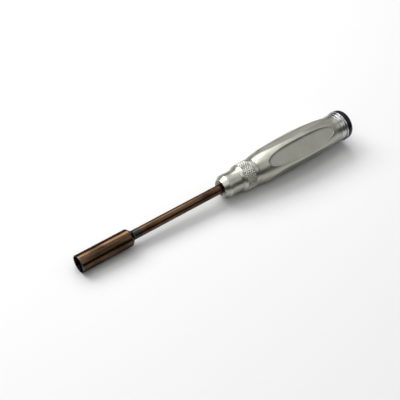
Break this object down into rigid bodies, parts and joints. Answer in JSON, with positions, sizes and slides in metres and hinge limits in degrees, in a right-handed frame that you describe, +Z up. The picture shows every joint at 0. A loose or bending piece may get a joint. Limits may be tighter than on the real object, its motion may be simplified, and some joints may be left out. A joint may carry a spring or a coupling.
{
  "type": "hex nut driver",
  "caption": "Straight hex nut driver: hex socket blade held by a knurled collet collar in a turned metal grip with oval finger pockets and a swivelling end cap.",
  "frame": {"origin": "on the surface that the tool lies on, under the middle of its length", "axes": "+X along the tool's axis from the socket's mouth to the end cap, +Z up, one grip pocket facing straight down"},
  "size_m": [0.209, 0.0234, 0.0224],
  "materials": {
    "browned_steel": "hardened steel with a streaky brown oxide finish",
    "braze": "pale silver braze",
    "satin_aluminium": "satin turned aluminium with a faint olive tint",
    "bright_aluminium": "bright fine-turned aluminium",
    "bright_steel": "bright turned steel",
    "black_oxide_steel": "black oxide",
    "black_rubber": "matte moulded rubber",
    "white_nylon": "plain nylon",
    "black_plastic": "glossy moulded black plastic"
  },
  "bodies": {
    "handle": {"grip_shell": "satin_aluminium", "chuck_body": "bright_steel", "flange_seal": "black_rubber", "chuck_dowel_left": "bright_steel", "chuck_dowel_right": "bright_steel", "collar_o_ring": "black_rubber", "chuck_bolt": "black_oxide_steel", "bolt_plain_washer": "bright_steel", "bolt_spring_washer": "bright_steel", "end_plug": "bright_aluminium", "plug_o_ring": "black_rubber", "cap_thrust_washer": "white_nylon", "cap_pivot_screw": "bright_steel"},
    "collet": {"collet": "bright_steel"},
    "collar": {"nose_collar": "satin_aluminium", "collet_retaining_ring": "bright_steel"},
    "blade": {"shaft_rod": "browned_steel", "socket_barrel": "browned_steel", "braze_fillet": "braze"},
    "cap": {"end_cap": "black_plastic"}
  },
  "joints": [
    {"name": "collet_travel", "type": "slide", "parent": "handle", "child": "collet", "axis": [-1, 0, 0], "range_m": [0, 0.00201]},
    {"name": "collar_turn", "type": "hinge", "parent": "collet", "child": "collar", "pos_m": [-0.00125, 0, 0.01048], "axis": [-1, 0, 0], "range_deg": [0, 720]},
    {"name": "shaft_pull", "type": "slide", "parent": "handle", "child": "blade", "axis": [-1, 0, 0], "range_m": [0, 0.04]},
    {"name": "cap_spin", "type": "hinge", "parent": "handle", "child": "cap", "pos_m": [0.1002, 0, 0.01048], "axis": [1, 0, 0], "continuous": true}
  ],
  "couplings": [
    {"joint": "collet_travel", "follows": "collar_turn", "m_per_rad": 0.00015915}
  ]
}
